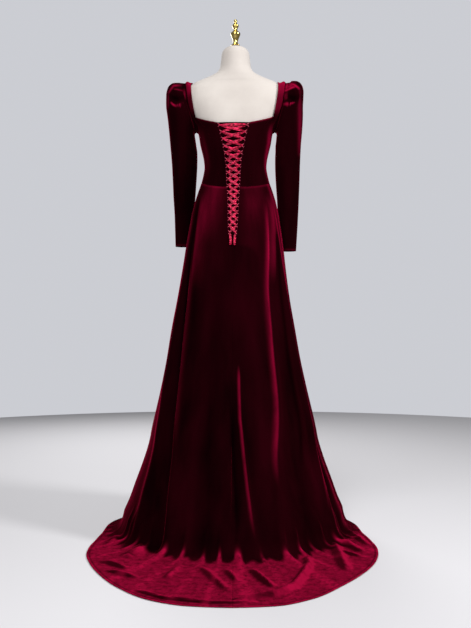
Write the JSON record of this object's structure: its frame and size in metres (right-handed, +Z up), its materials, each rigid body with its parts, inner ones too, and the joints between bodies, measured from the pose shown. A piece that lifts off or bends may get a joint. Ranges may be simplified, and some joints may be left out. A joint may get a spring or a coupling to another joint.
{
  "type": "a-line dress on dress form",
  "caption": "Floor-length A-line velvet gown with a laced corset back, long sleeves with puffed heads and a court train, worn by a limbless dress form on a pole stand.",
  "frame": {"origin": "centre of the underside of the stand's base, on the floor, under the pole's axis", "axes": "+Z up along the pole, +Y towards the back of the dress and its train, +X towards the wearer's left"},
  "size_m": [0.9835, 1.2268, 1.9123],
  "materials": {
    "velvet": "crushed silk-like velvet, dark crimson with a bright sheen",
    "ribbon": "crimson satin ribbon",
    "loop_cord": "matte corded loops on a tape",
    "form_cover": "matte off-white jersey",
    "finial_metal": "polished",
    "stand_metal": "satin grey"
  },
  "bodies": {
    "root": {"form_torso": "form_cover", "finial": "finial_metal", "stand_pole": "stand_metal", "stand_base": "stand_metal", "bodice_front": "velvet", "bodice_back_left": "velvet", "bodice_back_right": "velvet", "bodice_side_back_left": "velvet", "bodice_side_back_right": "velvet", "bodice_side_front_left": "velvet", "bodice_side_front_right": "velvet", "modesty_panel": "velvet", "loop_tape_left": "loop_cord", "loop_tape_right": "loop_cord", "lace_first_half": "ribbon", "lace_second_half": "ribbon", "sleeve_left": "velvet", "sleeve_right": "velvet", "skirt_back_left": "velvet", "skirt_back_right": "velvet", "skirt_front": "velvet"}
  },
  "joints": []
}
